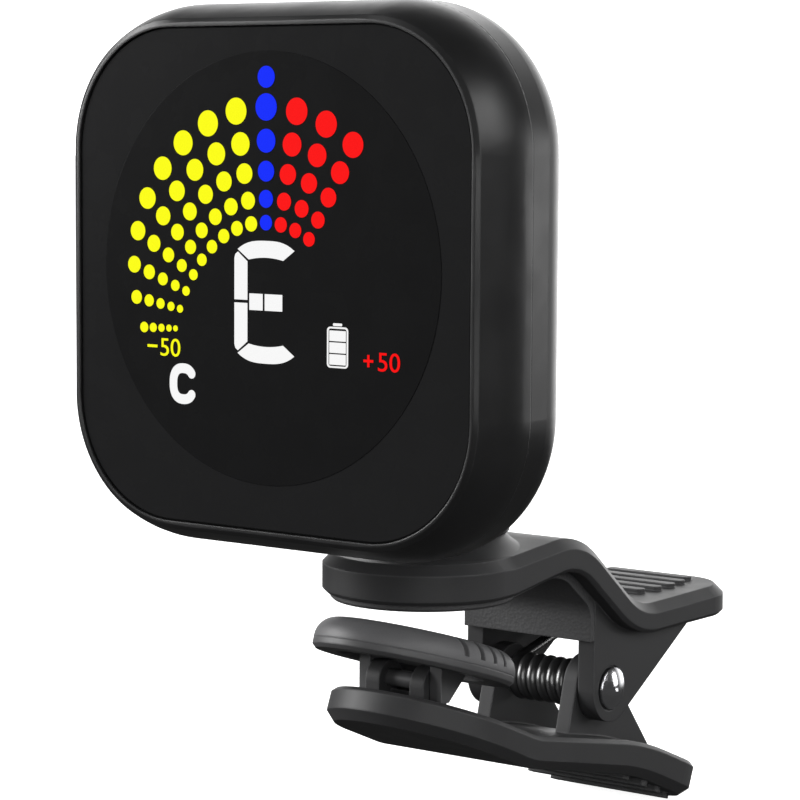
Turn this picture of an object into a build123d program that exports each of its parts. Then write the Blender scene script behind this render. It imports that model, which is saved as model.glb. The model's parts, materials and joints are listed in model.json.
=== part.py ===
from build123d import *
import os
from math import cos, radians, sin, sqrt, tan

# Clip-on instrument tuner, millimetres.  X to the right, Y to the back, Z up.
# The origin is the middle of the upper pad's contact face, where the clip grips.

# ---- driving dimensions -------------------------------------------------------------
CLIP_WIDTH = 20.0            # width of both jaws
UPPER_THICK = (3.9, 3.35, 3.2)   # upper jaw at its front, its crest and its thumb end
LOWER_THICK = (3.3, 3.7)     # lower jaw at its front and its thumb end
OUTER_BEVEL = 1.0            # bevel on the outside edge of a strap
INNER_BEVEL = 0.4            # bevel on the inside edge of a strap
PAD_THICK = 0.7              # rubber lining of the upper jaw
PAD_HALF = 8.05              # half width of the lining and its flap
FLAP_LOW = -6.3              # lower edge of the flap and of the stop behind it
PIN_Y, PIN_Z = 22.4, -11.7   # hinge pin of the clip
PIN_R = 1.2
PIN_HEAD_R = 2.2
PIN_HEAD_SKIRT = 0.6         # straight side of the pin's head
PIN_HEAD_RISE = 0.5
PIN_RECESS = 0.3             # shallow recess round the pin's head
UPPER_EAR_MID = (22.75, -11.75)   # middle of the upper ears' round end
UPPER_EAR_R = 3.6
EAR_OUT = 8.1                # outside faces of the upper jaw's ears
EAR_THICK = 2.0
EAR_LEAN = 31.7              # slope of the upper ears' rear edge, degrees
LOWER_EAR_R = 3.3
LOWER_EAR_OUT = 5.9          # outside faces of the lower jaw's ears
LOWER_EAR_THICK = 1.65
LOWER_EAR_LEAN = 15.0        # slope of the lower ears' front edge from upright, degrees
HEEL_ANGLE = 50.8            # slope of the lower ears' rear edge, degrees
RUN = 0.05                   # running clearance on a radius
THUMB_BARS = 5               # grip bars on each thumb plate

END_CORNER = 6.0             # plan corners of the thumb plates
SWIVEL_Y = 3.4               # vertical swivel axis
FOOT_R = 10.4                # flared foot of the swivel pedestal
NECK_R = 6.5
COLLAR_R = 6.7
COLLAR_Z = 6.3               # where the swivelling arm stands on its pedestal
COLLAR_TALL = 2.4
SPIGOT_R = 1.95
SCREW_HEAD_Z = 0.9           # underside of the swivel screw's head
SCREW_HEAD_TALL = 0.85
POCKET_R = 3.1               # pocket under the upper jaw for that screw and its washer
POCKET_TOP = PAD_THICK + 1.5
SHANK_R = 0.8
TILT_Y, TILT_Z = -6.5, 22.6  # tilt hinge behind the head
KNUCKLE_R = 3.2
KNUCKLE_HALF = 5.0
TILT_PIN_R = 1.25
LUG_THICK = 2.4
WASHER = 0.3                 # friction washers of the tilt hinge

ROCKER_PIN_Y, ROCKER_PIN_Z = -2.6, -7.95
ROCKER_PIN_R = 0.85
ROCKER_PIN_HALF = 4.7        # half length of that pin
ROCKER_MID = (-1.2, -5.97)   # middle of the rocker's widest outline
ROCKER_TILT = 17.4           # degrees, front up
ROCKER_HALF = (9.4, 11.6)    # half width and half length
ROCKER_LIP = 1.0
ROCKER_CROWN = 2.35
ROCKER_ROUND = 2.1
GROOVE_DEEP = 0.55
GROOVE_WIDE = 0.65
GROOVES = (-3.7, -1.5, 0.6, 2.7)    # along the rocker from its middle
LEG_IN, LEG_OUT = 3.7, 5.1   # inside and outside faces of the rocker's legs

HEAD_FRONT_Y = -24.6         # plane of the display window
HEAD_Z = 32.6                # middle of the window
WINDOW_HALF = 23.25
CORNER = 11.75               # middle of the casing's corner arcs, from the window's middle
INNER_CORNER = 8.0           # the same for the display parts, which give way to the pillars
LIP_HALF = 23.9              # front edge of the casing
BODY_HALF = 25.65            # widest part of the casing, at the seam
SEAM = 6.0                   # depth of the seam behind the window plane
HEAD_DEPTH = 13.5
WALL = 1.5
REAR_ROUND = 5.0
DISPLAY_R = 20.0             # round visible part of the display
DISPLAY_UP = 1.0             # its middle above the window's middle

# depths of the inner stack behind the window plane
WINDOW_BACK = 1.2
MASK_BACK = 1.4
LEDGE_BACK = 2.6
LCD_FRONT, LCD_BACK = 1.5, 3.2
GUIDE_BACK = 4.8
BOARD_FRONT, BOARD_BACK = 5.2, 6.2
LEDGE_HALF = 21.6            # opening of the ledge behind the window

SCREW_AT = 19.0              # shell screws, from the window's middle both ways
SCREW_R = 0.55
PILLAR_R = 2.0
SINK_R = 1.55                # sunk hole for each screw's head, and its depth
SINK_DEEP = 2.6
BUTTONS = {"power": 12.0, "mode": -12.0}  # X of each button on the back
BUTTON_UP = 12.0             # height of the buttons above the window's middle
BUTTON_R = 3.0
BUTTON_TRAVEL = 0.4
BUTTON_PROUD = 0.7           # how far the buttons stand out of the back
SWITCH_TALL = 2.0            # dome switch on the board, under each button
CELL_UP = 8.0                # middle of the cell above the window's middle
CELL_FRONT, CELL_BACK = 8.0, 11.3
USB_DEPTH = 8.2              # middle of the charging socket behind the window plane

HEAD = Plane((0, HEAD_FRONT_Y, HEAD_Z), x_dir=(1, 0, 0), z_dir=(0, -1, 0))
PIN = Plane((0, PIN_Y, PIN_Z), x_dir=(0, 1, 0), z_dir=(1, 0, 0))
UPPER_FRONT_Z = PAD_THICK + UPPER_THICK[0] / 2
UPPER_POINTS = [(0, UPPER_FRONT_Z), (2, UPPER_FRONT_Z), (13.9, 4.12), (25.4, -4.95), (40.2, -4.75)]
UPPER_BENDS = [8, 9, 10]
UPPER_STATIONS = (0, 0.29, 1)        # where along the strap its thickness is given
LOWER_POINTS = [(0.6, -13.3), (6.1, -15.55), (26.05, -19.6), (34.2, -22.95)]
LOWER_BENDS = [14, 45]


# ---- helpers ------------------------------------------------------------------------
def across(face, x_from, x_to):
    """A side outline, drawn as (Y, Z), made solid between two X values."""
    return Pos(x_from, 0, 0) * extrude(Plane.YZ * face, x_to - x_from)


def outline_of(*points):
    """A closed outline with straight sides."""
    return make_face(Polyline(*points, close=True))


def pin_along_x(y, z, radius, x_from, x_to):
    """A round bar across the clip."""
    return across(Pos(y, z) * Circle(radius), x_from, x_to)


def post(radius, bottom, top, x=0.0, y=0.0):
    """An upright round bar between two heights."""
    return extrude(Pos(x, y, bottom) * Circle(radius), top - bottom)


def slab(half, back, front=0.0, corner=CORNER):
    """A rounded square plate of the head between two depths behind the window."""
    outline = RectangleRounded(2 * half, 2 * half, half - corner)
    return extrude(Pos(0, 0, -back) * outline, back - front)


def disc(x, up, radius, back, front):
    """A round plate of the head, centred at x and up from the window's middle."""
    return extrude(Pos(x, up, -back) * Circle(radius), back - front)


def block(x, up, width, height, back, front):
    """A plain block of the head between two depths."""
    return extrude(Pos(x, up, -back) * Rectangle(width, height), back - front)


def both_sides(shape):
    """The shape and its mirror image on the other side of the clip."""
    return [shape, mirror(shape, Plane.YZ)]


def around_pin(angle, radius, y=PIN_Y, z=PIN_Z):
    """The point of a circle about the pin at an angle from straight back."""
    return (y + radius * cos(radians(angle)), z + radius * sin(radians(angle)))


def upright(along):
    """The direction square to a side-view direction, pointing up."""
    return Vector(0, -along.Z, along.Y)


def bevelled_section(thick, outer_up):
    """Cross-section of a strap, with its larger bevel outside."""
    half, top = CLIP_WIDTH / 2, thick / 2
    points = [
        (-half, top - OUTER_BEVEL),
        (-half + OUTER_BEVEL, top),
        (half - OUTER_BEVEL, top),
        (half, top - OUTER_BEVEL),
        (half, -top + INNER_BEVEL),
        (half - INNER_BEVEL, -top),
        (-half + INNER_BEVEL, -top),
        (-half, -top + INNER_BEVEL),
    ]
    side = 1 if outer_up else -1
    return outline_of(*[(x, side * y) for x, y in points])


def bevelled_plate(outline, thick, outer_up):
    """A flat plate about z = 0, bevelled like the strap."""
    plate = extrude(Pos(0, 0, -thick / 2) * outline, thick)
    outer, inner = (-1, 0) if outer_up else (0, -1)
    plate = chamfer(plate.faces().sort_by(Axis.Z)[outer].edges(), OUTER_BEVEL)
    return chamfer(plate.faces().sort_by(Axis.Z)[inner].edges(), INNER_BEVEL)


def strap(points, bends, thick, stations, outer_up):
    """A bent strap with a round front and a rounded-off thumb end, and its thumb plane."""
    path = Plane.YZ * FilletPolyline(*points, radius=bends)
    places = [Plane(path @ t, x_dir=(-1, 0, 0), z_dir=path % t) for t in stations]
    sections = [place * bevelled_section(size, outer_up) for place, size in zip(places, thick)]
    body = sweep(sections, path, multisection=True)
    front = Plane(path @ 0, x_dir=(1, 0, 0), z_dir=upright(path % 0))
    rear = Plane(path @ 1, x_dir=(1, 0, 0), z_dir=upright(path % 1))
    nose = bevelled_plate(Circle(CLIP_WIDTH / 2), thick[0], outer_up)
    outline = Pos(0, END_CORNER - CLIP_WIDTH / 2) * RectangleRounded(CLIP_WIDTH, CLIP_WIDTH, END_CORNER)
    tail = bevelled_plate(outline, thick[-1], outer_up)
    size = 2 * CLIP_WIDTH
    body += front * (nose & Pos(0, -size / 2, 0) * Box(size, size, size))
    body += rear * (tail & Pos(0, size / 2, 0) * Box(size, size, size))
    return body, rear


def grip_bars(pitch, first, half, wide, low, high):
    """Cross bars that fill an oval patch of a thumb plate."""
    bars = []
    middle = (THUMB_BARS - 1) / 2
    for number in range(THUMB_BARS):
        reach = half * sqrt(1 - ((number - middle) / (middle + 2)) ** 2)
        bar = Pos(0, first + pitch * number, low) * SlotOverall(2 * reach, wide)
        bars.append(extrude(bar, high - low))
    return bars


def domed_head(radius, skirt, height):
    """A low round dome on a short skirt, rising along Z."""
    sphere_r = (radius ** 2 + height ** 2) / (2 * height)
    middle = (radius / 2, skirt + height - sphere_r + sqrt(sphere_r ** 2 - radius ** 2 / 4))
    top = (0, skirt + height)
    arc = ThreePointArc((radius, skirt), middle, top)
    sides = Polyline(top, (0, 0), (radius, 0), (radius, skirt))
    return revolve(Plane.XZ * make_face(arc + sides), Axis.Z)


# ---- the clip -----------------------------------------------------------------------
def pedestal():
    """Flared foot of the swivel, moulded on the upper jaw between its bevels."""
    plate_top = PAD_THICK + UPPER_THICK[0]
    top = COLLAR_Z - RUN
    flare = ThreePointArc((FOOT_R, plate_top), (NECK_R + 1.1, plate_top + 0.55), (NECK_R, top - 0.2))
    low = plate_top - 1.0
    sides = Polyline((NECK_R, top - 0.2), (NECK_R - 0.2, top), (0, top), (0, low), (FOOT_R, low),
                     (FOOT_R, plate_top))
    foot = Pos(0, SWIVEL_Y, 0) * revolve(Plane.XZ * make_face(flare + sides), Axis.Z)
    return foot & Box(CLIP_WIDTH - 2 * OUTER_BEVEL - 0.2, 40, 40)


def upper_ear_outline():
    """Side view of one ear, from the strap down round the hinge pin."""
    y, z = UPPER_EAR_MID
    low = around_pin(EAR_LEAN - 90, UPPER_EAR_R, y, z)
    high_y = 38.5
    high = (high_y, low[1] + (high_y - low[0]) * tan(radians(EAR_LEAN)))
    front = y - UPPER_EAR_R
    outline = outline_of((front, z), (front, -1.0), (24.9, -4.9), (high_y, -4.9), high, low, (y, z))
    return outline + Pos(y, z) * Circle(UPPER_EAR_R)


def upper_jaw_body():
    """Strap and ears of the top lever, and the plane of its thumb plate."""
    body, rear = strap(UPPER_POINTS, UPPER_BENDS, UPPER_THICK, UPPER_STATIONS, True)
    for ear in both_sides(across(upper_ear_outline(), EAR_OUT - EAR_THICK, EAR_OUT)):
        body += ear
    front = UPPER_EAR_MID[0] - UPPER_EAR_R
    back = front + 1.2
    stop = outline_of((front, FLAP_LOW), (front, -0.4), (back, -1.4), (back, FLAP_LOW))
    return body + across(stop, -EAR_OUT, EAR_OUT), rear


def upper_jaw():
    """Top lever: strap, ears, flap stop and the swivel's pedestal."""
    body, rear = upper_jaw_body()
    body += pedestal()
    body -= post(SPIGOT_R + 0.1, -5, 20, y=SWIVEL_Y)
    body -= post(POCKET_R, 0, POCKET_TOP, y=SWIVEL_Y)
    body -= pin_along_x(PIN_Y, PIN_Z, PIN_R, -EAR_OUT, EAR_OUT)
    seat = EAR_OUT - PIN_RECESS
    for recess in both_sides(pin_along_x(PIN_Y, PIN_Z, PIN_HEAD_R + 0.2, seat, EAR_OUT + 1)):
        body -= recess
    top = UPPER_THICK[-1] / 2
    for bar in grip_bars(pitch=2.4, first=-7.2, half=6.2, wide=1.2, low=top - 0.3, high=top + 0.4):
        body += rear * bar
    return body


def upper_pad():
    """Rubber lining of the upper jaw, with the flap that stops the work."""
    flap_y = UPPER_EAR_MID[0] - UPPER_EAR_R - PAD_THICK / 2
    path = Plane.YZ * FilletPolyline((0, PAD_THICK / 2), (3.2, PAD_THICK / 2), (12.9, 1.95),
                                     (flap_y, -2.6), (flap_y, FLAP_LOW), radius=[8, 6, 2.5])
    over = 0.8
    section = Pos(0, over / 2) * Rectangle(2 * PAD_HALF, PAD_THICK + over)
    body = sweep(Plane(path @ 0, x_dir=(-1, 0, 0), z_dir=path % 0) * section, path)
    round_pad = chamfer(post(9.2, 0, PAD_THICK).faces().sort_by(Axis.Z)[0].edges(), 0.25)
    body += round_pad
    body -= upper_jaw_body()[0]
    return body - post(POCKET_R + 0.1, PAD_THICK, 5, y=SWIVEL_Y)


def lower_ear_outline():
    """Side view of one inner ear, from the lower strap up round the hinge pin."""
    lean, heel_fall = radians(LOWER_EAR_LEAN), radians(HEEL_ANGLE)
    front = around_pin(180 - LOWER_EAR_LEAN, LOWER_EAR_R)
    rear = around_pin(90 - HEEL_ANGLE, LOWER_EAR_R)
    foot = (front[0] - 7.5 * sin(lean), front[1] - 7.5 * cos(lean))
    heel = (rear[0] + 15.2 * cos(heel_fall), rear[1] - 15.2 * sin(heel_fall))
    outline = outline_of((PIN_Y, PIN_Z), front, foot, heel, rear)
    return outline + Pos(PIN_Y, PIN_Z) * Circle(LOWER_EAR_R)


def rocker_lugs():
    """Two lugs that carry the rocker's pin, and the low bridge between them."""
    y, z = ROCKER_PIN_Y, ROCKER_PIN_Z
    lug_half, inner, outer = 1.95, 1.9, 3.6
    lug = Pos(y, z - 0.2) * Circle(lug_half) + Pos(y, z - 2.2) * Rectangle(2 * lug_half, 4.0)
    lug -= Pos(y, z) * Circle(ROCKER_PIN_R + RUN)
    bridge = Pos(y + 0.7, z - 2.8) * Rectangle(1.4, 3.3)
    return both_sides(across(lug, inner, outer)) + [across(bridge, -inner, inner)]


def lower_jaw():
    """Bottom lever: strap, inner ears, rocker lugs and ribbed thumb plate."""
    body, rear = strap(LOWER_POINTS, LOWER_BENDS, LOWER_THICK, (0, 1), False)
    inner = LOWER_EAR_OUT - LOWER_EAR_THICK
    for ear in both_sides(across(lower_ear_outline(), inner, LOWER_EAR_OUT)):
        body += ear
    for part in rocker_lugs():
        body += part
    body -= pin_along_x(PIN_Y, PIN_Z, PIN_R + RUN, -LOWER_EAR_OUT, LOWER_EAR_OUT)
    low = -LOWER_THICK[-1] / 2
    for bar in grip_bars(pitch=3.4, first=-12.0, half=8.8, wide=1.1, low=low - 0.65, high=low + 0.6):
        body += rear * bar
    return body


def hinge_pin():
    """Steel clip pin with a polished domed head."""
    seat = EAR_OUT - PIN_RECESS
    shaft = pin_along_x(PIN_Y, PIN_Z, PIN_R, -EAR_OUT - 0.5, seat)
    return shaft + PIN * Pos(0, 0, seat) * domed_head(PIN_HEAD_R, PIN_HEAD_SKIRT, PIN_HEAD_RISE)


def pin_cap():
    """Domed push-on cap that holds the pin's other end."""
    seat = EAR_OUT - PIN_RECESS
    cap = domed_head(PIN_HEAD_R, PIN_HEAD_SKIRT, PIN_HEAD_RISE) - post(PIN_R, -1, PIN_RECESS + 0.5)
    return mirror(PIN * Pos(0, 0, seat) * cap, Plane.YZ)


def torsion_spring():
    """Close-wound spring on the pin, with one leg to each thumb plate."""
    wire_r, coil_r, pitch = 0.6, 1.95, 1.24
    upper_rise, lower_fall = 14.0, 28.5
    upper_leg, lower_leg = 11.0, 12.0
    start_angle = 90 + upper_rise
    turns = 5 + (180 - upper_rise - lower_fall) / 360
    half = turns * pitch / 2
    coil = PIN * Pos(0, 0, -half) * Rot(0, 0, start_angle) * Helix(pitch, 2 * half, coil_r)
    ends = [Plane(coil @ t, z_dir=coil % t) * Circle(wire_r) for t in (0, 1)]
    body = sweep(ends[0], coil, is_frenet=True)
    for end, angle, length in zip(ends, (upper_rise, -lower_fall), (upper_leg, lower_leg)):
        aim = Vector(0, cos(radians(angle)), sin(radians(angle)))
        body += extrude(end, length, dir=aim)
    return body


# ---- the rocker ---------------------------------------------------------------------
def rocker_plane():
    """The rocker's own plane: its widest outline, tilted front up."""
    along = Vector(0, cos(radians(ROCKER_TILT)), -sin(radians(ROCKER_TILT)))
    return Plane((0, *ROCKER_MID), x_dir=(1, 0, 0), z_dir=upright(along))


def rocker_underside(y):
    """Height of the rocker frame's underside at a depth Y."""
    tilt = radians(ROCKER_TILT)
    return ROCKER_MID[1] - ROCKER_LIP / cos(tilt) - (y - ROCKER_MID[0]) * tan(tilt)


def crowned(half, height, rounding):
    """An oval block with a rounded top."""
    block_up = extrude(Ellipse(*half), height)
    return fillet(block_up.faces().sort_by(Axis.Z)[-1].edges(), rounding)


def rocker_cover():
    """Soft crowned pad that meets the instrument, with shallow cross grooves."""
    crown = crowned(ROCKER_HALF, ROCKER_CROWN, ROCKER_ROUND)
    core_half = [half - GROOVE_DEEP for half in ROCKER_HALF]
    core = crowned(core_half, ROCKER_CROWN - GROOVE_DEEP, ROCKER_ROUND - GROOVE_DEEP)
    upward = (Align.CENTER, Align.CENTER, Align.MIN)
    for y in GROOVES:
        slot = Pos(0, y, 0.6) * Box(3 * ROCKER_HALF[0], GROOVE_WIDE, 2 * ROCKER_CROWN, align=upward)
        crown -= slot - core
    return rocker_plane() * crown


def rocker_frame():
    """Stiff underside of the rocker with two legs for its pin."""
    plate = extrude(Pos(0, 0, -ROCKER_LIP) * Ellipse(*ROCKER_HALF), ROCKER_LIP)
    plate = chamfer(plate.faces().sort_by(Axis.Z)[0].edges(), 0.4)
    plate -= extrude(Pos(0, -0.5, -ROCKER_LIP) * Ellipse(6.9, 8.6), ROCKER_LIP - 0.4)
    body = rocker_plane() * plate
    front, toe, back, low = -3.6, -2.3, 0.35, -9.7
    rooted = 0.8
    leg = outline_of((front, low), (front, rocker_underside(front) + rooted),
                     (back, rocker_underside(back) + rooted), (back, rocker_underside(back)),
                     (toe, low))
    for side in both_sides(across(leg, LEG_IN, LEG_OUT)):
        body += side
    return body - rocker_pin()


def rocker_pin():
    """Pin of the rocker, fixed in its legs and turning in the jaw's lugs."""
    return pin_along_x(ROCKER_PIN_Y, ROCKER_PIN_Z, ROCKER_PIN_R, -ROCKER_PIN_HALF, ROCKER_PIN_HALF)


# ---- the swivel arm -----------------------------------------------------------------
def swivel_arm():
    """Arm that turns on the clip and carries the head's tilt hinge."""
    collar = post(COLLAR_R, COLLAR_Z, COLLAR_Z + COLLAR_TALL, y=SWIVEL_Y)
    collar = fillet(collar.faces().sort_by(Axis.Z)[-1].edges(), 1.6)
    collar = chamfer(collar.faces().sort_by(Axis.Z)[0].edges(), 0.25)
    stem = [(SWIVEL_Y, COLLAR_Z + 0.6), (SWIVEL_Y, 16.8), (TILT_Y, TILT_Z)]
    path = Plane.YZ * FilletPolyline(*stem, radius=[7])
    section = RectangleRounded(2 * KNUCKLE_HALF, 4.6, 1.2)
    body = collar + sweep(Plane(path @ 0, x_dir=(1, 0, 0), z_dir=path % 0) * section, path)
    body += pin_along_x(TILT_Y, TILT_Z, KNUCKLE_R, -KNUCKLE_HALF, KNUCKLE_HALF)
    body += post(SPIGOT_R, SCREW_HEAD_Z + SCREW_HEAD_TALL + 0.5, COLLAR_Z + 0.1, y=SWIVEL_Y)
    body -= post(SHANK_R, 0, COLLAR_Z + 1.0, y=SWIVEL_Y)
    return body - pin_along_x(TILT_Y, TILT_Z, TILT_PIN_R + RUN, -KNUCKLE_HALF, KNUCKLE_HALF)


def swivel_washer():
    """Spring washer under the upper jaw that gives the swivel its drag."""
    ring = post(POCKET_R - 0.2, POCKET_TOP - 0.4, POCKET_TOP, y=SWIVEL_Y)
    return ring - post(SHANK_R + 0.2, 0, POCKET_TOP, y=SWIVEL_Y)


def swivel_screw():
    """Screw from below that holds the arm on the clip."""
    head = post(2.5, SCREW_HEAD_Z, SCREW_HEAD_Z + SCREW_HEAD_TALL, y=SWIVEL_Y)
    shank = post(SHANK_R, SCREW_HEAD_Z, COLLAR_Z + 0.8, y=SWIVEL_Y)
    slot = Pos(0, SWIVEL_Y, SCREW_HEAD_Z) * Box(6.0, 0.7, 0.8)
    return head + shank - slot


def tilt_pin():
    """Pin of the tilt hinge."""
    reach = KNUCKLE_HALF + WASHER + LUG_THICK
    return pin_along_x(TILT_Y, TILT_Z, TILT_PIN_R, -reach, reach)


def tilt_washers():
    """Thin friction washers each side of the arm's knuckle."""
    ring = pin_along_x(TILT_Y, TILT_Z, KNUCKLE_R - 0.3, KNUCKLE_HALF + RUN, KNUCKLE_HALF + WASHER)
    ring -= pin_along_x(TILT_Y, TILT_Z, TILT_PIN_R, 0, 10)
    return Compound(both_sides(ring))


# ---- the head -----------------------------------------------------------------------
def head_half(depth):
    """Half width of the casing at a depth ahead of the seam: a gentle bulge."""
    return BODY_HALF - (BODY_HALF - LIP_HALF) * (1 - depth / SEAM) ** 2


def casing_section(half, depth):
    """Rounded square outline of the casing at a depth."""
    return Pos(0, 0, -depth) * RectangleRounded(2 * half, 2 * half, half - CORNER)


def screw_places():
    """The four corners that carry a screw."""
    return [(x, up) for x in (-SCREW_AT, SCREW_AT) for up in (-SCREW_AT, SCREW_AT)]


def front_shell():
    """Front casing: lip round the window, ledge behind it, four screw pillars."""
    depths = [SEAM * step / 3 for step in range(4)]
    outside = loft([casing_section(head_half(depth), depth) for depth in depths])
    inside = loft([casing_section(head_half(depth) - WALL, depth) for depth in depths[1:]])
    body = outside - (inside - slab(LIP_HALF, LEDGE_BACK))
    body -= slab(WINDOW_HALF + 0.05, MASK_BACK)
    body -= slab(LEDGE_HALF, SEAM - 1)
    body = chamfer(body.faces().sort_by(Axis.Z)[-1].outer_wire().edges(), 0.3)
    for x, up in screw_places():
        pillar = disc(x, up, PILLAR_R, BOARD_FRONT, LEDGE_BACK - 0.6)
        body += pillar - disc(x, up, SCREW_R, SEAM, LEDGE_BACK) - slab(LEDGE_HALF, SEAM)
    return HEAD * body


def rear_shell_body():
    """Rounded back half of the casing, hollow, with its screw pillars."""
    outside = slab(BODY_HALF, HEAD_DEPTH, SEAM)
    outside = fillet(outside.faces().sort_by(Axis.Z)[0].edges(), REAR_ROUND)
    inside = slab(BODY_HALF - WALL, HEAD_DEPTH - WALL, SEAM)
    inside = fillet(inside.faces().sort_by(Axis.Z)[0].edges(), REAR_ROUND - WALL)
    body = outside - inside
    for x, up in screw_places():
        body += disc(x, up, PILLAR_R, HEAD_DEPTH, BOARD_BACK) & outside
        body -= disc(x, up, SCREW_R + 0.3, HEAD_DEPTH, SEAM)
        body -= disc(x, up, SINK_R, HEAD_DEPTH + 1, HEAD_DEPTH - SINK_DEEP)
    return body


def rear_shell():
    """Rear casing with tilt lugs and openings for the buttons and the plug."""
    body = rear_shell_body()
    for x in BUTTONS.values():
        body -= disc(x, BUTTON_UP, BUTTON_R + 0.15, HEAD_DEPTH + 1, 10)
    socket = Plane((-BODY_HALF, 0, -USB_DEPTH), x_dir=(0, 1, 0), z_dir=(-1, 0, 0))
    body -= extrude(socket * SlotOverall(9.6, 3.8), 4, both=True)
    back = HEAD_FRONT_Y + HEAD_DEPTH - 0.5
    spread = KNUCKLE_R + 1.6
    lug = Pos(TILT_Y, TILT_Z) * Circle(KNUCKLE_R)
    lug += outline_of((back, TILT_Z - spread), (TILT_Y, TILT_Z - KNUCKLE_R),
                      (TILT_Y, TILT_Z + KNUCKLE_R), (back, TILT_Z + spread))
    inner = KNUCKLE_HALF + WASHER
    body = HEAD * body
    for side in both_sides(across(lug, inner, inner + LUG_THICK)):
        body += side
    return body - pin_along_x(TILT_Y, TILT_Z, TILT_PIN_R, -20, 20)


def display_window():
    """Flush clear front window."""
    plate = slab(WINDOW_HALF, WINDOW_BACK, 0.2)
    return HEAD * chamfer(plate.faces().sort_by(Axis.Z)[-1].edges(), 0.15)


def window_gasket():
    """Adhesive ring that holds the window on its ledge."""
    return HEAD * (slab(WINDOW_HALF - 0.1, MASK_BACK, WINDOW_BACK) - slab(LEDGE_HALF + 0.1, MASK_BACK))


def display_mask():
    """Printed mask behind the window with its round opening."""
    return HEAD * (slab(LEDGE_HALF, MASK_BACK, WINDOW_BACK) - disc(0, DISPLAY_UP, DISPLAY_R, MASK_BACK, 0))


def lcd_panel():
    """Display glass."""
    return HEAD * slab(21.2, LCD_BACK, LCD_FRONT, INNER_CORNER)


def light_guide():
    """Clear backlight plate behind the display glass."""
    return HEAD * slab(20.9, GUIDE_BACK, LCD_BACK + 0.05, INNER_CORNER)


def display_frame():
    """White holder that keeps display glass and light guide on the board."""
    outside = slab(22.4, BOARD_FRONT, LEDGE_BACK, INNER_CORNER)
    body = outside - slab(21.3, GUIDE_BACK, 0, INNER_CORNER) - slab(17.5, BOARD_FRONT, 0, INNER_CORNER)
    for x, up in screw_places():
        body -= disc(x, up, PILLAR_R + 0.15, BOARD_FRONT, 0)
    return HEAD * body


def circuit_board():
    """Main board, clamped between the pillars of the two shells."""
    board = slab(22.9, BOARD_BACK, BOARD_FRONT)
    for x, up in screw_places():
        board -= disc(x, up, 0.9, BOARD_BACK, BOARD_FRONT)
    return HEAD * board


def board_chips():
    """Controller, charger, memory and crystal soldered on the back of the board."""
    places = ((-11.0, -10.5, 7.0, 7.0, 1.0), (11.5, -10.0, 4.0, 4.0, 0.9),
              (12.0, -4.0, 5.0, 3.0, 1.2), (-4.0, -13.5, 3.2, 1.5, 0.8))
    chips = [block(x, up, wide, high, BOARD_BACK + tall, BOARD_BACK) for x, up, wide, high, tall in places]
    return HEAD * Compound(chips)


def battery():
    """Flat rechargeable cell stuck inside the rear shell."""
    cell = block(0, CELL_UP, 16.0, 21.0, CELL_BACK, CELL_FRONT)
    return HEAD * fillet(cell.edges().filter_by(Axis.Y), 1.2)


def battery_tape():
    """Foam tape between the cell and the rear shell."""
    return HEAD * block(0, CELL_UP, 12.0, 18.0, HEAD_DEPTH - WALL, CELL_BACK)


def battery_plug():
    """Two-way plug of the cell on the board."""
    return HEAD * block(0, -8.0, 4.2, 3.2, BOARD_BACK + 1.7, BOARD_BACK)


def vibration_sensor():
    """Piezo disc that picks the note up through the arm and the rear shell."""
    return HEAD * disc(0, -15.0, 6.0, HEAD_DEPTH - WALL, HEAD_DEPTH - WALL - 0.5)


def usb_socket():
    """Charging socket at the edge of the board, open to the left side."""
    mouth = Plane((-24.3, 0, -USB_DEPTH), x_dir=(0, 1, 0), z_dir=(1, 0, 0))
    shell = extrude(mouth * SlotOverall(8.94, 3.16), 7.3) - extrude(mouth * SlotOverall(8.34, 2.56), 6.3)
    tongue = extrude(mouth.offset(0.9) * Rectangle(6.69, 0.7), 6.0)
    foot = block(-19.6, 0, 5.0, 8.0, USB_DEPTH - 1.4, BOARD_BACK)
    return HEAD * (shell + tongue + foot)


def button(name):
    """Round button on the back, with a flange inside and a stem to its switch."""
    x = BUTTONS[name]
    inner = HEAD_DEPTH - WALL - RUN
    cap = disc(x, BUTTON_UP, BUTTON_R, HEAD_DEPTH + BUTTON_PROUD, inner)
    cap = fillet(cap.faces().sort_by(Axis.Z)[0].edges(), 0.5)
    flange = disc(x, BUTTON_UP, BUTTON_R + 0.6, inner, inner - 0.7)
    stem = disc(x, BUTTON_UP, 1.0, inner, BOARD_BACK + SWITCH_TALL + BUTTON_TRAVEL + 0.1)
    return HEAD * (cap + flange + stem)


def switch(name):
    """Dome switch on the board under its button."""
    x = BUTTONS[name]
    housing = block(x, BUTTON_UP, 4.0, 4.0, BOARD_BACK + SWITCH_TALL - 0.5, BOARD_BACK)
    return HEAD * (housing + disc(x, BUTTON_UP, 1.0, BOARD_BACK + SWITCH_TALL, BOARD_BACK))


def shell_screws():
    """Four screws that hold the two shells together."""
    seat = HEAD_DEPTH - SINK_DEEP
    top = seat + 1.1
    screws = []
    for x, up in screw_places():
        screw = disc(x, up, SINK_R - 0.1, top, seat) + disc(x, up, SCREW_R, seat, LEDGE_BACK + 0.1)
        for width, height in ((1.7, 0.4), (0.4, 1.7)):
            screw -= block(x, up, width, height, top, top - 0.5)
        screws.append(screw)
    return HEAD * Compound(screws)


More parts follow.
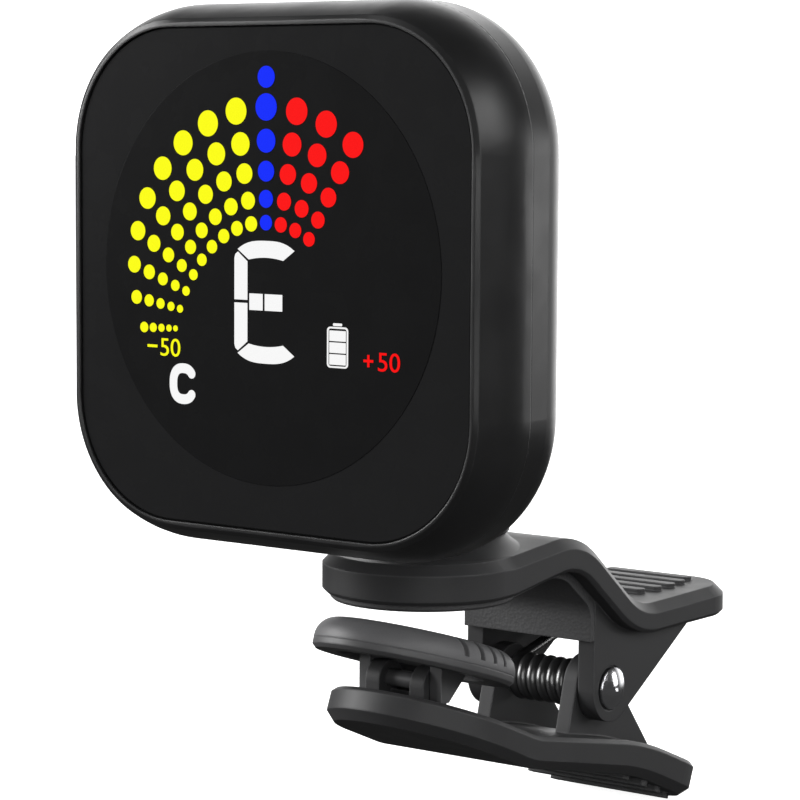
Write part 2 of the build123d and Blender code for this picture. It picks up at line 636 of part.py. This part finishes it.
NODES = {
    "upper_jaw": upper_jaw,
    "upper_pad": upper_pad,
    "lower_jaw": lower_jaw,
    "hinge_pin": hinge_pin,
    "pin_cap": pin_cap,
    "torsion_spring": torsion_spring,
    "rocker_cover": rocker_cover,
    "rocker_frame": rocker_frame,
    "rocker_pin": rocker_pin,
    "swivel_arm": swivel_arm,
    "swivel_washer": swivel_washer,
    "swivel_screw": swivel_screw,
    "tilt_pin": tilt_pin,
    "tilt_washers": tilt_washers,
    "front_shell": front_shell,
    "rear_shell": rear_shell,
    "display_window": display_window,
    "window_gasket": window_gasket,
    "display_mask": display_mask,
    "lcd_panel": lcd_panel,
    "light_guide": light_guide,
    "display_frame": display_frame,
    "circuit_board": circuit_board,
    "board_chips": board_chips,
    "battery": battery,
    "battery_tape": battery_tape,
    "battery_plug": battery_plug,
    "vibration_sensor": vibration_sensor,
    "usb_socket": usb_socket,
    "power_button": lambda: button("power"),
    "mode_button": lambda: button("mode"),
    "power_switch": lambda: switch("power"),
    "mode_switch": lambda: switch("mode"),
    "shell_screws": shell_screws,
}


def main():
    os.makedirs("parts", exist_ok=True)
    for name, make in NODES.items():
        export_step(make(), f"parts/{name}.step")


main()
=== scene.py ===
import json
import math

import bmesh
import bpy
from mathutils import Matrix, Vector


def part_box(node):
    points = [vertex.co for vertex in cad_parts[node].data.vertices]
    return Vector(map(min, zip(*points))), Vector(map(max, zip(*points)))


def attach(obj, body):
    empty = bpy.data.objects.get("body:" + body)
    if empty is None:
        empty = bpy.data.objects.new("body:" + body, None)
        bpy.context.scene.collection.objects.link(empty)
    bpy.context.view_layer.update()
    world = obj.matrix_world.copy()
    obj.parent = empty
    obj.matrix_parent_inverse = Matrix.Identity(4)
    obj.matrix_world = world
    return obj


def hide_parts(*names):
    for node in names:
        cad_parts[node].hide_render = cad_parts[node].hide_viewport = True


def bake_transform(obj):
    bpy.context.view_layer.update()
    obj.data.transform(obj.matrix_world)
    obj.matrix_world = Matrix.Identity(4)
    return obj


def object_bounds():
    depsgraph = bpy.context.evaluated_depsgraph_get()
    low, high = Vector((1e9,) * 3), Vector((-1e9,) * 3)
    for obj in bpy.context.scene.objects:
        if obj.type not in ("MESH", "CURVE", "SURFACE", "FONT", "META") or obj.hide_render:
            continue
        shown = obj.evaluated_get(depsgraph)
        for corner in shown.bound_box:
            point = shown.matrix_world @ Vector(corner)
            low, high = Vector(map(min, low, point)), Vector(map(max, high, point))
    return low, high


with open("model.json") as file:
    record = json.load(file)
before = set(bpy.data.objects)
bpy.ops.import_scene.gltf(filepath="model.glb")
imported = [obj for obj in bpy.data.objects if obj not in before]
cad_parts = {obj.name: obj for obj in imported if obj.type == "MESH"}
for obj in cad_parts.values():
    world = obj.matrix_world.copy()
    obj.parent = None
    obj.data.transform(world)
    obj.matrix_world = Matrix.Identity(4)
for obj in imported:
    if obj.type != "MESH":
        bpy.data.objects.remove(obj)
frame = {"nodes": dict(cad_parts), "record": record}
cad_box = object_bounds()
MM = 0.001


# ---- node helpers -----------------------------------------------------------------------
def add_node(tree, kind, settings=None, **inputs):
    """Adds a node, sets its properties and fills or links its inputs."""
    node = tree.nodes.new("ShaderNode" + kind)
    for key, value in (settings or {}).items():
        setattr(node, key, value)
    for key, value in inputs.items():
        socket = node.inputs[int(key[1:])] if key[1:].isdigit() else node.inputs[key.replace("_", " ")]
        if isinstance(value, bpy.types.NodeSocket):
            tree.links.new(value, socket)
        else:
            socket.default_value = value
    return node


def noise(tree, place, size, detail=2.0):
    """Noise with features about size metres across."""
    node = add_node(tree, "TexNoise", Vector=place, Scale=1 / size, Detail=detail, Roughness=0.5)
    return node.outputs["Fac"]


def spread(tree, value, low, high, start=0.3, end=0.7):
    """Maps a value between start and end to the range low to high, and holds it there beyond them."""
    node = add_node(tree, "MapRange", Value=value)
    for key, number in (("From Min", start), ("From Max", end), ("To Min", low), ("To Max", high)):
        node.inputs[key].default_value = number
    return node.outputs["Result"]


def mixed(tree, factor, first, second):
    """Colour between first and second."""
    node = add_node(tree, "Mix", {"data_type": "RGBA"})
    for socket, value in zip((node.inputs[0], node.inputs[6], node.inputs[7]), (factor, first, second)):
        if isinstance(value, bpy.types.NodeSocket):
            tree.links.new(value, socket)
        else:
            socket.default_value = value
    return node.outputs[2]


def average(tree, first, second):
    """Average of two values."""
    total = add_node(tree, "Math", {"operation": "ADD"}, _0=first, _1=second)
    return add_node(tree, "Math", {"operation": "MULTIPLY"}, _0=total.outputs[0], _1=0.5).outputs[0]


def rgba(colour):
    """The colour with full opacity, as a node socket takes it."""
    return (*colour, 1.0)


def grey(level, tint=1.03):
    """A neutral colour with a slightly cool blue channel."""
    return (level, level, level * tint)


def srgb(*levels):
    """Linear colour from 0 to 255 display levels."""
    unit = [level / 255 for level in levels]
    return tuple(u / 12.92 if u < 0.04045 else ((u + 0.055) / 1.055) ** 2.4 for u in unit)


# ---- materials --------------------------------------------------------------------------
CLOUD_SIZE = 4 * MM          # size of the soft mottling on every surface
WAVE_DEPTH = 0.02 * MM       # and how far it swells the surface
WAVE_STRENGTH = 0.25
GRAIN_STRENGTH = 0.6
WORN_AND_HIGHLIGHT_TURN = (0.86, 0.995)    # cosine of an edge's turn where the lighter edge (edge wear and a painted highlight) is full, and where it starts
CELL_SIZE = 0.12 * MM        # texture of a lit display symbol
DIM = 0.94                   # brightness of its darker spots


def surface(name, low, high, rough, grain, depth, wear_and_highlight=None, edge=0.25, cells=False, stretch=None,
            **shader):
    """A solid surface: mottled colour, uneven roughness, a fine grain and softened edges, lighter from
    edge wear and a painted highlight.

    low and high are the colours it varies between, rough its roughness range, grain the size and
    depth the height of its texture in mm, the edge colour gives its edges wear and a painted highlight,
    and edge their width in mm.
    cells gives it pebbles in place of a fine noise. stretch is how many times finer the texture is
    along each axis, and a larger number on one axis leaves brushed lines across it."""
    material = bpy.data.materials.new(name)
    material.use_nodes = True
    tree = material.node_tree
    principled = tree.nodes["Principled BSDF"]
    place = add_node(tree, "TexCoord").outputs["Object"]
    if stretch:
        place = add_node(tree, "Mapping", Vector=place, Scale=stretch).outputs["Vector"]
    cloud = noise(tree, place, CLOUD_SIZE, detail=4.0)
    fine = noise(tree, place, grain * MM, detail=3.0)
    if cells:
        height = add_node(tree, "TexVoronoi", Vector=place, Scale=1 / (grain * MM)).outputs["Distance"]
    else:
        height = fine
    shade = spread(tree, average(tree, cloud, fine), 0.0, 1.0)
    colour = mixed(tree, shade, rgba(low), rgba(high))
    rounded = add_node(tree, "Bevel", {"samples": 4}, Radius=edge * MM).outputs["Normal"]
    # Edges turn lighter: partly edge wear, partly a painted highlight on the bevels.
    if wear_and_highlight:
        flat = add_node(tree, "NewGeometry").outputs["Normal"]
        facing = add_node(tree, "VectorMath", {"operation": "DOT_PRODUCT"}, _0=rounded, _1=flat)
        corner = spread(tree, facing.outputs["Value"], 1.0, 0.0, *WORN_AND_HIGHLIGHT_TURN)
        worn_and_highlighted = add_node(tree, "Math", {"operation": "MULTIPLY"}, _0=corner, _1=cloud)
        colour = mixed(tree, worn_and_highlighted.outputs[0], colour, rgba(wear_and_highlight))
    tree.links.new(colour, principled.inputs["Base Color"])
    tree.links.new(spread(tree, cloud, *rough), principled.inputs["Roughness"])
    wave = add_node(tree, "Bump", Height=cloud, Distance=WAVE_DEPTH, Strength=WAVE_STRENGTH,
                    Normal=rounded)
    bump = add_node(tree, "Bump", Height=height, Distance=depth * MM, Strength=GRAIN_STRENGTH,
                    Normal=wave.outputs[0])
    tree.links.new(bump.outputs[0], principled.inputs["Normal"])
    for key, value in shader.items():
        principled.inputs[key.replace("_", " ")].default_value = value
    return material


def glowing(name, colour):
    """A lit display symbol: even light with a very fine cell texture."""
    material = bpy.data.materials.new(name)
    material.use_nodes = True
    tree = material.node_tree
    principled = tree.nodes["Principled BSDF"]
    place = add_node(tree, "TexCoord").outputs["Object"]
    cells = spread(tree, noise(tree, place, CELL_SIZE), 0.0, 1.0)
    dim = tuple(DIM * channel for channel in colour)
    light = mixed(tree, cells, rgba(dim), rgba(colour))
    tree.links.new(light, principled.inputs["Emission Color"])
    base = mixed(tree, cells, rgba(grey(0.004)), rgba(grey(0.006)))
    tree.links.new(base, principled.inputs["Base Color"])
    tree.links.new(spread(tree, cells, 0.35, 0.45), principled.inputs["Roughness"])
    principled.inputs["Emission Strength"].default_value = 1.0
    principled.inputs["Specular IOR Level"].default_value = 0.02
    return material


def make_materials():
    """One finished material for each slot of the record."""
    black = {"low": grey(0.033), "high": grey(0.042)}
    # The wear colours lighten the edges as edge wear and as a painted highlight.
    return {
        "clip_plastic": surface("clip_plastic", **black, rough=(0.46, 0.54), grain=0.10, depth=0.010,
                                wear_and_highlight=grey(0.15), Specular_IOR_Level=0.25),
        "rocker_plastic": surface("rocker_plastic", grey(0.060), grey(0.072), rough=(0.45, 0.55),
                                  grain=0.10, depth=0.012, wear_and_highlight=grey(0.14)),
        "rocker_rubber": surface("rocker_rubber", grey(0.100), grey(0.120), rough=(0.46, 0.56),
                                 grain=0.14, depth=0.014, wear_and_highlight=grey(0.15), edge=0.3),
        "pad_rubber": surface("pad_rubber", grey(0.040), grey(0.060), rough=(0.62, 0.75), grain=0.32,
                              depth=0.05, wear_and_highlight=grey(0.11), cells=True),
        "button_rubber": surface("button_rubber", grey(0.045), grey(0.055), rough=(0.6, 0.7), grain=0.14,
                                 depth=0.014, wear_and_highlight=grey(0.11)),
        "shell_plastic": surface("shell_plastic", grey(0.012), grey(0.016), rough=(0.30, 0.36), grain=0.08,
                                 depth=0.003, wear_and_highlight=grey(0.05), edge=0.2, Specular_IOR_Level=0.4),
        "window_glass": surface("window_glass", grey(0.0162), grey(0.0170), rough=(0.24, 0.30),
                                grain=0.06, depth=0.0006, edge=0.1, Specular_IOR_Level=0.02),
        "mask_ink": surface("mask_ink", grey(0.0110), grey(0.0116), rough=(0.24, 0.30), grain=0.06,
                            depth=0.0006, edge=0.1, Specular_IOR_Level=0.02),
        "display_glass": surface("display_glass", grey(0.0104), grey(0.0112), rough=(0.08, 0.12),
                                 grain=0.1, depth=0.0006, edge=0.1),
        "clear_acrylic": surface("clear_acrylic", grey(0.80), grey(0.86), rough=(0.08, 0.14), grain=0.2,
                                 depth=0.002, Transmission_Weight=0.7, IOR=1.49),
        "white_plastic": surface("white_plastic", grey(0.76), grey(0.82), rough=(0.40, 0.50), grain=0.12,
                                 depth=0.006),
        "nylon": surface("nylon", (0.70, 0.68, 0.62), (0.76, 0.74, 0.69), rough=(0.42, 0.52), grain=0.12,
                         depth=0.006),
        "board_green": surface("board_green", (0.008, 0.085, 0.032), (0.014, 0.120, 0.048),
                               rough=(0.28, 0.38), grain=0.5, depth=0.008, wear_and_highlight=(0.35, 0.30, 0.18)),
        "chip_black": surface("chip_black", grey(0.018), grey(0.026), rough=(0.50, 0.60), grain=0.06,
                              depth=0.006, wear_and_highlight=grey(0.06)),
        "cell_foil": surface("cell_foil", (0.55, 0.56, 0.58), (0.68, 0.69, 0.71), rough=(0.28, 0.42),
                             grain=0.8, depth=0.03, Metallic=1.0),
        "black_foam": surface("black_foam", grey(0.016), grey(0.030), rough=(0.80, 0.92), grain=0.25,
                              depth=0.08, cells=True),
        "sensor_brass": surface("sensor_brass", (0.62, 0.42, 0.14), (0.74, 0.53, 0.21), rough=(0.22, 0.34),
                                grain=0.15, depth=0.004, stretch=(1.0, 8.0, 1.0), Metallic=1.0),
        "polished_steel": surface("polished_steel", grey(0.70), grey(0.80), rough=(0.13, 0.19), grain=0.12,
                                  depth=0.0015, stretch=(1.0, 1.0, 5.0), Metallic=1.0),
        "plain_steel": surface("plain_steel", grey(0.46), grey(0.58), rough=(0.24, 0.36), grain=0.12,
                               depth=0.003, stretch=(6.0, 1.0, 1.0), Metallic=1.0),
        "black_steel": surface("black_steel", grey(0.020), grey(0.034), rough=(0.34, 0.44), grain=0.10,
                               depth=0.005, wear_and_highlight=grey(0.16), Specular_IOR_Level=0.8),
        "spring_steel": surface("spring_steel", grey(0.014), grey(0.020), rough=(0.26, 0.34), grain=0.10,
                                depth=0.002, wear_and_highlight=grey(0.05), IOR=1.9, Coat_Weight=0.3),
    }


def finish_cad_nodes(materials):
    """Gives every CAD node the finish of its slot."""
    for part in frame["record"]["subparts"]:
        node = frame["nodes"][part["node"]]
        if not node.material_slots:
            node.data.materials.append(None)
        for material_slot in node.material_slots:
            material_slot.material = materials[part["material_slot"]]


def curve_mesh(curve):
    """The mesh of a curve or a text, whose own object is removed again."""
    source = bpy.data.objects.new(curve.name, curve)
    bpy.context.scene.collection.objects.link(source)
    bpy.context.view_layer.update()
    seen = source.evaluated_get(bpy.context.evaluated_depsgraph_get())
    mesh = bpy.data.meshes.new_from_object(seen)
    bpy.data.objects.remove(source)
    return mesh


# ---- display ----------------------------------------------------------------------------
WINDOW_LOW, WINDOW_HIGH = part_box("display_window")
WINDOW_X = (WINDOW_LOW.x + WINDOW_HIGH.x) / 2
WINDOW_Z = (WINDOW_LOW.z + WINDOW_HIGH.z) / 2
FACE_Y = WINDOW_LOW.y
DISC_PROUD = 0.03 * MM
SYMBOL_PROUD = 0.07 * MM
SUNK = 0.03 * MM             # how far each layer reaches into the one behind it

# Lengths from here on are in mm, and places are from the window's middle.
DISC_UP = 1.0
DISC_RADIUS = 20.0
FAN_UP = -4.77               # centre of the fan of dots
FAN_STEP = 10.1              # degrees between two columns of dots
FAN_OUTER = 20.64            # reach of the outermost dot of the middle column
FAN_INNER = 10.08            # and of its innermost one
OUTER_DRAWN_IN = 0.069       # the outer dots draw in with the square of the column's number
INNER_PUSHED_OUT = 0.063     # the inner ones move out, but only beyond this many columns:
EVEN_COLUMNS = 5
SHRINK = 0.0074              # dots also shrink with the square of the column's number
DOT_RADIUS = 0.71            # innermost dot of the middle column
DOT_GROWTH = 0.54            # how much larger its outermost dot is
RING_PLACES = (1.0, 0.709, 0.446, 0.206, 0.0)    # a column's dots, from the outer to the inner
TOP_DOT_REACH = 23.38
TOP_DOT_RADIUS = 1.0


def flat_piece(name, outlines, back, front, material):
    """A thin plate on the window for each outline, given in mm from the window's middle.

    back and front are how far its two faces stand before the window, in metres."""
    mesh = bpy.data.meshes.new(name)
    made = bmesh.new()
    for outline in outlines:
        loops = []
        for depth in (back, front):
            loops.append([made.verts.new((WINDOW_X + x * MM, FACE_Y - depth, WINDOW_Z + z * MM))
                          for x, z in outline])
        behind, ahead = loops
        made.faces.new(ahead)
        made.faces.new(behind[::-1])
        count = len(outline)
        for i in range(count):
            j = (i + 1) % count
            made.faces.new((behind[i], behind[j], ahead[j], ahead[i]))
    bmesh.ops.recalc_face_normals(made, faces=made.faces)
    made.to_mesh(mesh)
    made.free()
    piece = bpy.data.objects.new(name, mesh)
    bpy.context.scene.collection.objects.link(piece)
    piece.data.materials.append(material)
    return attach(piece, "head")


def arc(centre, radii, start, end, count):
    """Points on an ellipse from one angle to another, in degrees."""
    points = []
    for i in range(count + 1):
        angle = math.radians(start + (end - start) * i / count)
        points.append((centre[0] + radii[0] * math.cos(angle), centre[1] + radii[1] * math.sin(angle)))
    return points


def circle(centre, radius, count=32):
    """Outline of a round dot."""
    return arc(centre, (radius, radius), 0, 360, count)[:-1]


def dot_column(column):
    """The dots of one column of the fan: they shrink and draw together away from the middle."""
    away = abs(column)
    outer = FAN_OUTER - OUTER_DRAWN_IN * away ** 2
    inner = FAN_INNER + INNER_PUSHED_OUT * max(0, away - EVEN_COLUMNS) ** 2
    shrink = 1 - SHRINK * away ** 2
    turn = math.radians(FAN_STEP * column)
    dots = []
    for place in RING_PLACES:
        reach = inner + (outer - inner) * place
        size = (DOT_RADIUS + DOT_GROWTH * place) * shrink
        dots.append(circle((reach * math.sin(turn), FAN_UP + reach * math.cos(turn)), size))
    return dots


def dot_fan(columns):
    """All dots of some columns of the fan."""
    return [dot for column in columns for dot in dot_column(column)]


def letter_segments():
    """The big note letter of a segment display: two upright bars, two curved ones and a dash in two."""
    middle, left, inner, gap = -2.02, -3.77, -2.22, 0.145
    half_dash = 0.765
    steps = 8
    parts = []
    for side in (1, -1):
        upright = [(left, gap), (inner, gap), (inner, 3.71), (-3.36, 4.58), (-3.65, 4.37), (left, 4.0)]
        across = range(-steps, steps + 1)
        outer = [(3.38 * t / steps, 5.66 - 0.84 * abs(t / steps) ** 3) for t in across]
        under = [(2.05 * t / steps, 4.11 - 0.22 * (t / steps) ** 2) for t in reversed(across)]
        parts += [[(x, middle + side * z) for x, z in stroke] for stroke in (upright, outer + under)]
    for low, high in ((-1.96, -0.38), (-0.12, 1.95)):
        parts.append([(low, middle - half_dash), (high, middle - half_dash),
                      (high, middle + half_dash), (low, middle + half_dash)])
    return parts


def small_letter():
    """The small rounded letter: an open ring of even width with round ends."""
    centre, radii, stroke, opening = (-10.1, -10.13), (1.25, 1.47), 0.46, 38
    squareness = 0.8             # 1 is a true ellipse
    steps = 30
    spine = []
    for i in range(steps + 1):
        angle = math.radians(opening + (360 - 2 * opening) * i / steps)
        reach = [math.copysign(abs(f(angle)) ** squareness, f(angle)) for f in (math.cos, math.sin)]
        spine.append(tuple(c + r * k for c, r, k in zip(centre, radii, reach)))
    outer, inner = [], []
    for i, (x, z) in enumerate(spine):
        before, after = spine[max(i - 1, 0)], spine[min(i + 1, steps)]
        turn = math.atan2(after[1] - before[1], after[0] - before[0])
        outer.append((x + stroke * math.sin(turn), z - stroke * math.cos(turn)))
        inner.append((x - stroke * math.sin(turn), z + stroke * math.cos(turn)))
    return [outer + round_end(outer[-1], inner[-1]) + inner[::-1] + round_end(inner[0], outer[0])]


def round_end(start, end, count=8):
    """Half circle from one point to another, counter-clockwise."""
    middle = [(a + b) / 2 for a, b in zip(start, end)]
    turn = math.atan2(start[1] - middle[1], start[0] - middle[0])
    radius = math.dist(start, end) / 2
    return [(middle[0] + radius * math.cos(turn + math.pi * i / count),
             middle[1] + radius * math.sin(turn + math.pi * i / count)) for i in range(1, count)]


def rounded_box(low, high, radius, count=4):
    """Outline of an upright box with rounded corners."""
    points = []
    left, right = low[0] + radius, high[0] - radius
    bottom, top = low[1] + radius, high[1] - radius
    for x, z, start in ((right, top, 0), (left, top, 90), (left, bottom, 180), (right, bottom, 270)):
        points += arc((x, z), (radius, radius), start, start + 90, count)
    return points


def battery_symbol():
    """Battery sign: an outline in two halves, a cap and three full cells."""
    low, high, line = (7.23, -7.60), (9.65, -3.88), 0.16
    inset, floor, spare, gap = 0.27, 0.28, 0.5, 0.12
    outer = rounded_box(low, high, 0.35)
    inner = rounded_box((low[0] + line, low[1] + line), (high[0] - line, high[1] - line), 0.22)
    half = len(outer) // 2
    upper = outer[:half + 1] + inner[:half + 1][::-1]
    lower = outer[half:] + outer[:1] + inner[:1] + inner[half:][::-1]
    cap = rounded_box((7.92, -3.80), (8.95, -3.55), 0.1)
    parts = [upper, lower, cap]
    cell = (high[1] - low[1] - spare) / 3
    for i in range(3):
        base = low[1] + floor + i * cell
        parts.append(rounded_box((low[0] + inset, base), (high[0] - inset, base + cell - gap), 0.04))
    return parts


def bar(x, z, wide, high):
    """Outline of an upright box about its middle."""
    return [(x - wide / 2, z - high / 2), (x + wide / 2, z - high / 2),
            (x + wide / 2, z + high / 2), (x - wide / 2, z + high / 2)]


def minus_sign(x, z):
    """A minus sign about its middle."""
    return [bar(x, z, 1.24, 0.26)]


def plus_sign(x, z):
    """A plus sign about its middle, as one outline."""
    arm, half = 0.55, 0.12
    corners = [(half, half), (half, arm), (-half, arm), (-half, half), (-arm, half), (-arm, -half),
               (-half, -half), (-half, -arm), (half, -arm), (half, -half), (arm, -half), (arm, half)]
    return [[(x + a, z + b) for a, b in corners]]


def scale_number(name, words, left, base, height, width, material):
    """A number of the scale, as a thin mesh on the window."""
    letters = bpy.data.curves.new(name + "_text", "FONT")
    letters.body = words
    letters.resolution_u = 6
    letters.extrude = (SYMBOL_PROUD + SUNK - DISC_PROUD) / 2
    mesh = curve_mesh(letters)
    low = [min(v.co[k] for v in mesh.vertices) for k in (0, 1)]
    high = [max(v.co[k] for v in mesh.vertices) for k in (0, 1)]
    for v in mesh.vertices:
        x = left + (v.co.x - low[0]) / (high[0] - low[0]) * width
        z = base + (v.co.y - low[1]) / (high[1] - low[1]) * height
        depth = (SYMBOL_PROUD + DISC_PROUD - SUNK) / 2 + v.co.z
        v.co = (WINDOW_X + x * MM, FACE_Y - depth, WINDOW_Z + z * MM)
    made = bmesh.new()
    made.from_mesh(mesh)
    bmesh.ops.remove_doubles(made, verts=made.verts, dist=1e-7)
    bmesh.ops.recalc_face_normals(made, faces=made.faces)
    made.to_mesh(mesh)
    made.free()
    mesh.name = name
    piece = bpy.data.objects.new(name, mesh)
    bpy.context.scene.collection.objects.link(piece)
    mesh.materials.clear()
    mesh.materials.append(material)
    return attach(piece, "head")


def make_display(materials):
    """The darker round display and its lit symbols, as thin layers on the window's face."""
    yellow = glowing("lit_yellow", srgb(254, 255, 8))
    red = glowing("lit_red", srgb(255, 8, 8))
    blue = glowing("lit_blue", srgb(8, 42, 255))
    white = glowing("lit_white", srgb(250, 250, 250))
    flat_piece("display_round", [circle((0, DISC_UP), DISC_RADIUS, 96)], -SUNK, DISC_PROUD,
               materials["mask_ink"])
    top_dot = circle((0, FAN_UP + TOP_DOT_REACH), TOP_DOT_RADIUS)
    groups = (
        ("dots_flat", dot_fan(range(-9, 0)), yellow),
        ("dots_in_tune", dot_fan([0]) + [top_dot], blue),
        ("dots_sharp", dot_fan(range(1, 4)), red),
        ("note_letter", letter_segments(), white),
        ("mode_letter", small_letter(), white),
        ("battery_sign", battery_symbol(), white),
        ("scale_minus", minus_sign(-14.0, -6.74), yellow),
        ("scale_plus", plus_sign(11.97, -6.77), red),
    )
    for name, outlines, material in groups:
        flat_piece(name, outlines, DISC_PROUD - SUNK, SYMBOL_PROUD, material)
    scale_number("scale_low", "50", left=-12.97, base=-7.63, height=1.70, width=2.48, material=yellow)
    scale_number("scale_high", "50", left=13.07, base=-7.63, height=1.70, width=2.46, material=red)


# ---- spring -----------------------------------------------------------------------------
def make_spring(material):
    """The clip's spring as one tube along its coil and two legs."""
    pin = Vector((0, 22.4, -11.7))
    wire, coil, pitch = 0.6, 1.95, 1.24      # radii of wire and coil, and distance between two turns
    rise, fall = 14.0, 28.5                  # how steeply the legs go up and down, in degrees
    legs = (11.0, 12.0)
    start = 90 + rise
    turns = 5 + (180 - rise - fall) / 360
    half = turns * pitch / 2
    steps = 200
    leg_steps = 10
    points = []
    for i in range(steps + 1):
        t = i / steps
        angle = math.radians(start + 360 * turns * t)
        points.append(pin + Vector((half * (2 * t - 1), coil * math.cos(angle), coil * math.sin(angle))))
    up, down = [Vector((0, math.cos(math.radians(a)), math.sin(math.radians(a)))) for a in (rise, -fall)]
    first = [points[0] + up * legs[0] * k / leg_steps for k in range(leg_steps, 0, -1)]
    last = [points[-1] + down * legs[1] * k / leg_steps for k in range(1, leg_steps + 1)]
    path = first + points + last
    curve = bpy.data.curves.new("clip_spring_path", "CURVE")
    curve.dimensions = "3D"
    curve.bevel_depth = wire * MM
    curve.bevel_resolution = 5
    curve.use_fill_caps = True
    spline = curve.splines.new("POLY")
    spline.points.add(len(path) - 1)
    for point, place in zip(spline.points, path):
        point.co = (*(place * MM), 1)
    mesh = curve_mesh(curve)
    mesh.name = "clip_spring"
    for face in mesh.polygons:
        face.use_smooth = True
    mesh.materials.clear()
    mesh.materials.append(material)
    spring = bpy.data.objects.new("clip_spring", mesh)
    bpy.context.scene.collection.objects.link(spring)
    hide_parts("torsion_spring")
    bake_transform(spring)


# ---- stage ------------------------------------------------------------------------------
WORLD_DARK = 0.05
WORLD_BRIGHT = 3.0
BRIGHT_SIDE = (-0.30, 0.95, 0.08)
LOBE = (0.70, 0.97)          # cosine from the bright side where the light begins, and where it is full
HORIZON = (-0.2, -0.1)       # upward slope where the light begins, and where it is full
FLOOR_GLOW = 0.90
FLOOR_RADIUS = 6.0
SENSOR = 36.0                # in mm, Blender's own width
FOCAL_LENGTH = 3.540625      # in widths of the picture


def area_light(name, place, aim, size, power):
    """A soft rectangular light that faces the point aim."""
    light = bpy.data.lights.new(name, "AREA")
    light.shape = "RECTANGLE"
    light.size, light.size_y = size
    light.energy = power
    lamp = bpy.data.objects.new(name, light)
    lamp.location = place
    lamp.rotation_euler = (Vector(aim) - Vector(place)).to_track_quat("-Z", "Y").to_euler()
    bpy.context.scene.collection.objects.link(lamp)


def make_floor(level):
    """A pale, faintly uneven floor under the clip. It catches shadows but throws no light back."""
    bpy.ops.mesh.primitive_circle_add(vertices=96, radius=FLOOR_RADIUS, fill_type="NGON",
                                      location=(0, 0, level))
    floor = bpy.context.object
    floor.name = "floor"
    floor.visible_diffuse = False
    floor.visible_glossy = False
    material = bpy.data.materials.new("floor_paper")
    material.use_nodes = True
    tree = material.node_tree
    principled = tree.nodes["Principled BSDF"]
    place = add_node(tree, "TexCoord").outputs["Object"]
    cloud = noise(tree, place, 0.3, detail=3.0)
    colour = mixed(tree, cloud, rgba((0.86, 0.86, 0.86)), rgba((0.90, 0.90, 0.90)))
    tree.links.new(colour, principled.inputs["Base Color"])
    principled.inputs["Roughness"].default_value = 0.9
    principled.inputs["Specular IOR Level"].default_value = 0.1
    principled.inputs["Emission Color"].default_value = (1.0, 1.0, 1.0, 1.0)
    principled.inputs["Emission Strength"].default_value = FLOOR_GLOW
    floor.data.materials.append(material)


def make_world():
    """Surroundings that look white to the camera and light the object mostly from behind."""
    world = bpy.data.worlds.new("studio")
    bpy.context.scene.world = world
    world.use_nodes = True
    tree = world.node_tree
    direction = add_node(tree, "TexCoord").outputs["Generated"]
    towards = add_node(tree, "VectorMath", {"operation": "DOT_PRODUCT"}, _0=direction, _1=BRIGHT_SIDE)
    lobe = spread(tree, towards.outputs["Value"], 0.0, 1.0, *LOBE)
    height = add_node(tree, "SeparateXYZ", Vector=direction).outputs["Z"]
    above = spread(tree, height, 0.0, 1.0, *HORIZON)
    lobe = add_node(tree, "Math", {"operation": "MULTIPLY"}, _0=lobe, _1=above).outputs[0]
    light = spread(tree, lobe, WORLD_DARK, WORLD_BRIGHT, start=0.0, end=1.0)
    seen = add_node(tree, "LightPath").outputs["Is Camera Ray"]
    strength = add_node(tree, "Math", {"operation": "MAXIMUM"}, _0=light, _1=seen)
    background = tree.nodes["Background"]
    background.inputs["Color"].default_value = (1.0, 1.0, 1.0, 1.0)
    tree.links.new(strength.outputs[0], background.inputs["Strength"])


def make_lights():
    """A key light at the front left, weaker ones at the front right and the right side, and a strip
    at the back right that shows in the polished pin."""
    middle = (0.0, 0.0, 0.01)
    area_light("key", (-1.10, -0.60, 0.42), middle, (0.8, 0.8), 23.0)
    area_light("front", (0.75, -0.80, 0.25), middle, (0.6, 0.6), 4.5)
    area_light("side", (1.10, 0.05, 0.55), middle, (0.7, 0.7), 6.5)
    area_light("strip", (0.76, 0.92, 0.06), middle, (0.25, 0.35), 1.6)


def make_camera():
    """The camera at the photograph's viewing angle."""
    right = Vector((0.7973, 0.6036, 0.0064))
    up = Vector((-0.0636, 0.0735, 0.9953))
    back = right.cross(up)
    data = bpy.data.cameras.new("camera")
    data.sensor_width = SENSOR
    data.lens = SENSOR * FOCAL_LENGTH
    data.clip_start = 0.005
    data.clip_end = 50.0
    camera = bpy.data.objects.new("camera", data)
    turn = Matrix((right, up, back)).transposed().to_4x4()
    camera.matrix_world = Matrix.Translation((0.1668, -0.2245, 0.0470)) @ turn
    bpy.context.scene.collection.objects.link(camera)
    bpy.context.scene.camera = camera


materials = make_materials()
finish_cad_nodes(materials)
make_display(materials)
make_spring(materials["spring_steel"])
make_floor(cad_box[0].z)
make_world()
make_lights()
make_camera()
bpy.context.scene.view_settings.view_transform = "Standard"
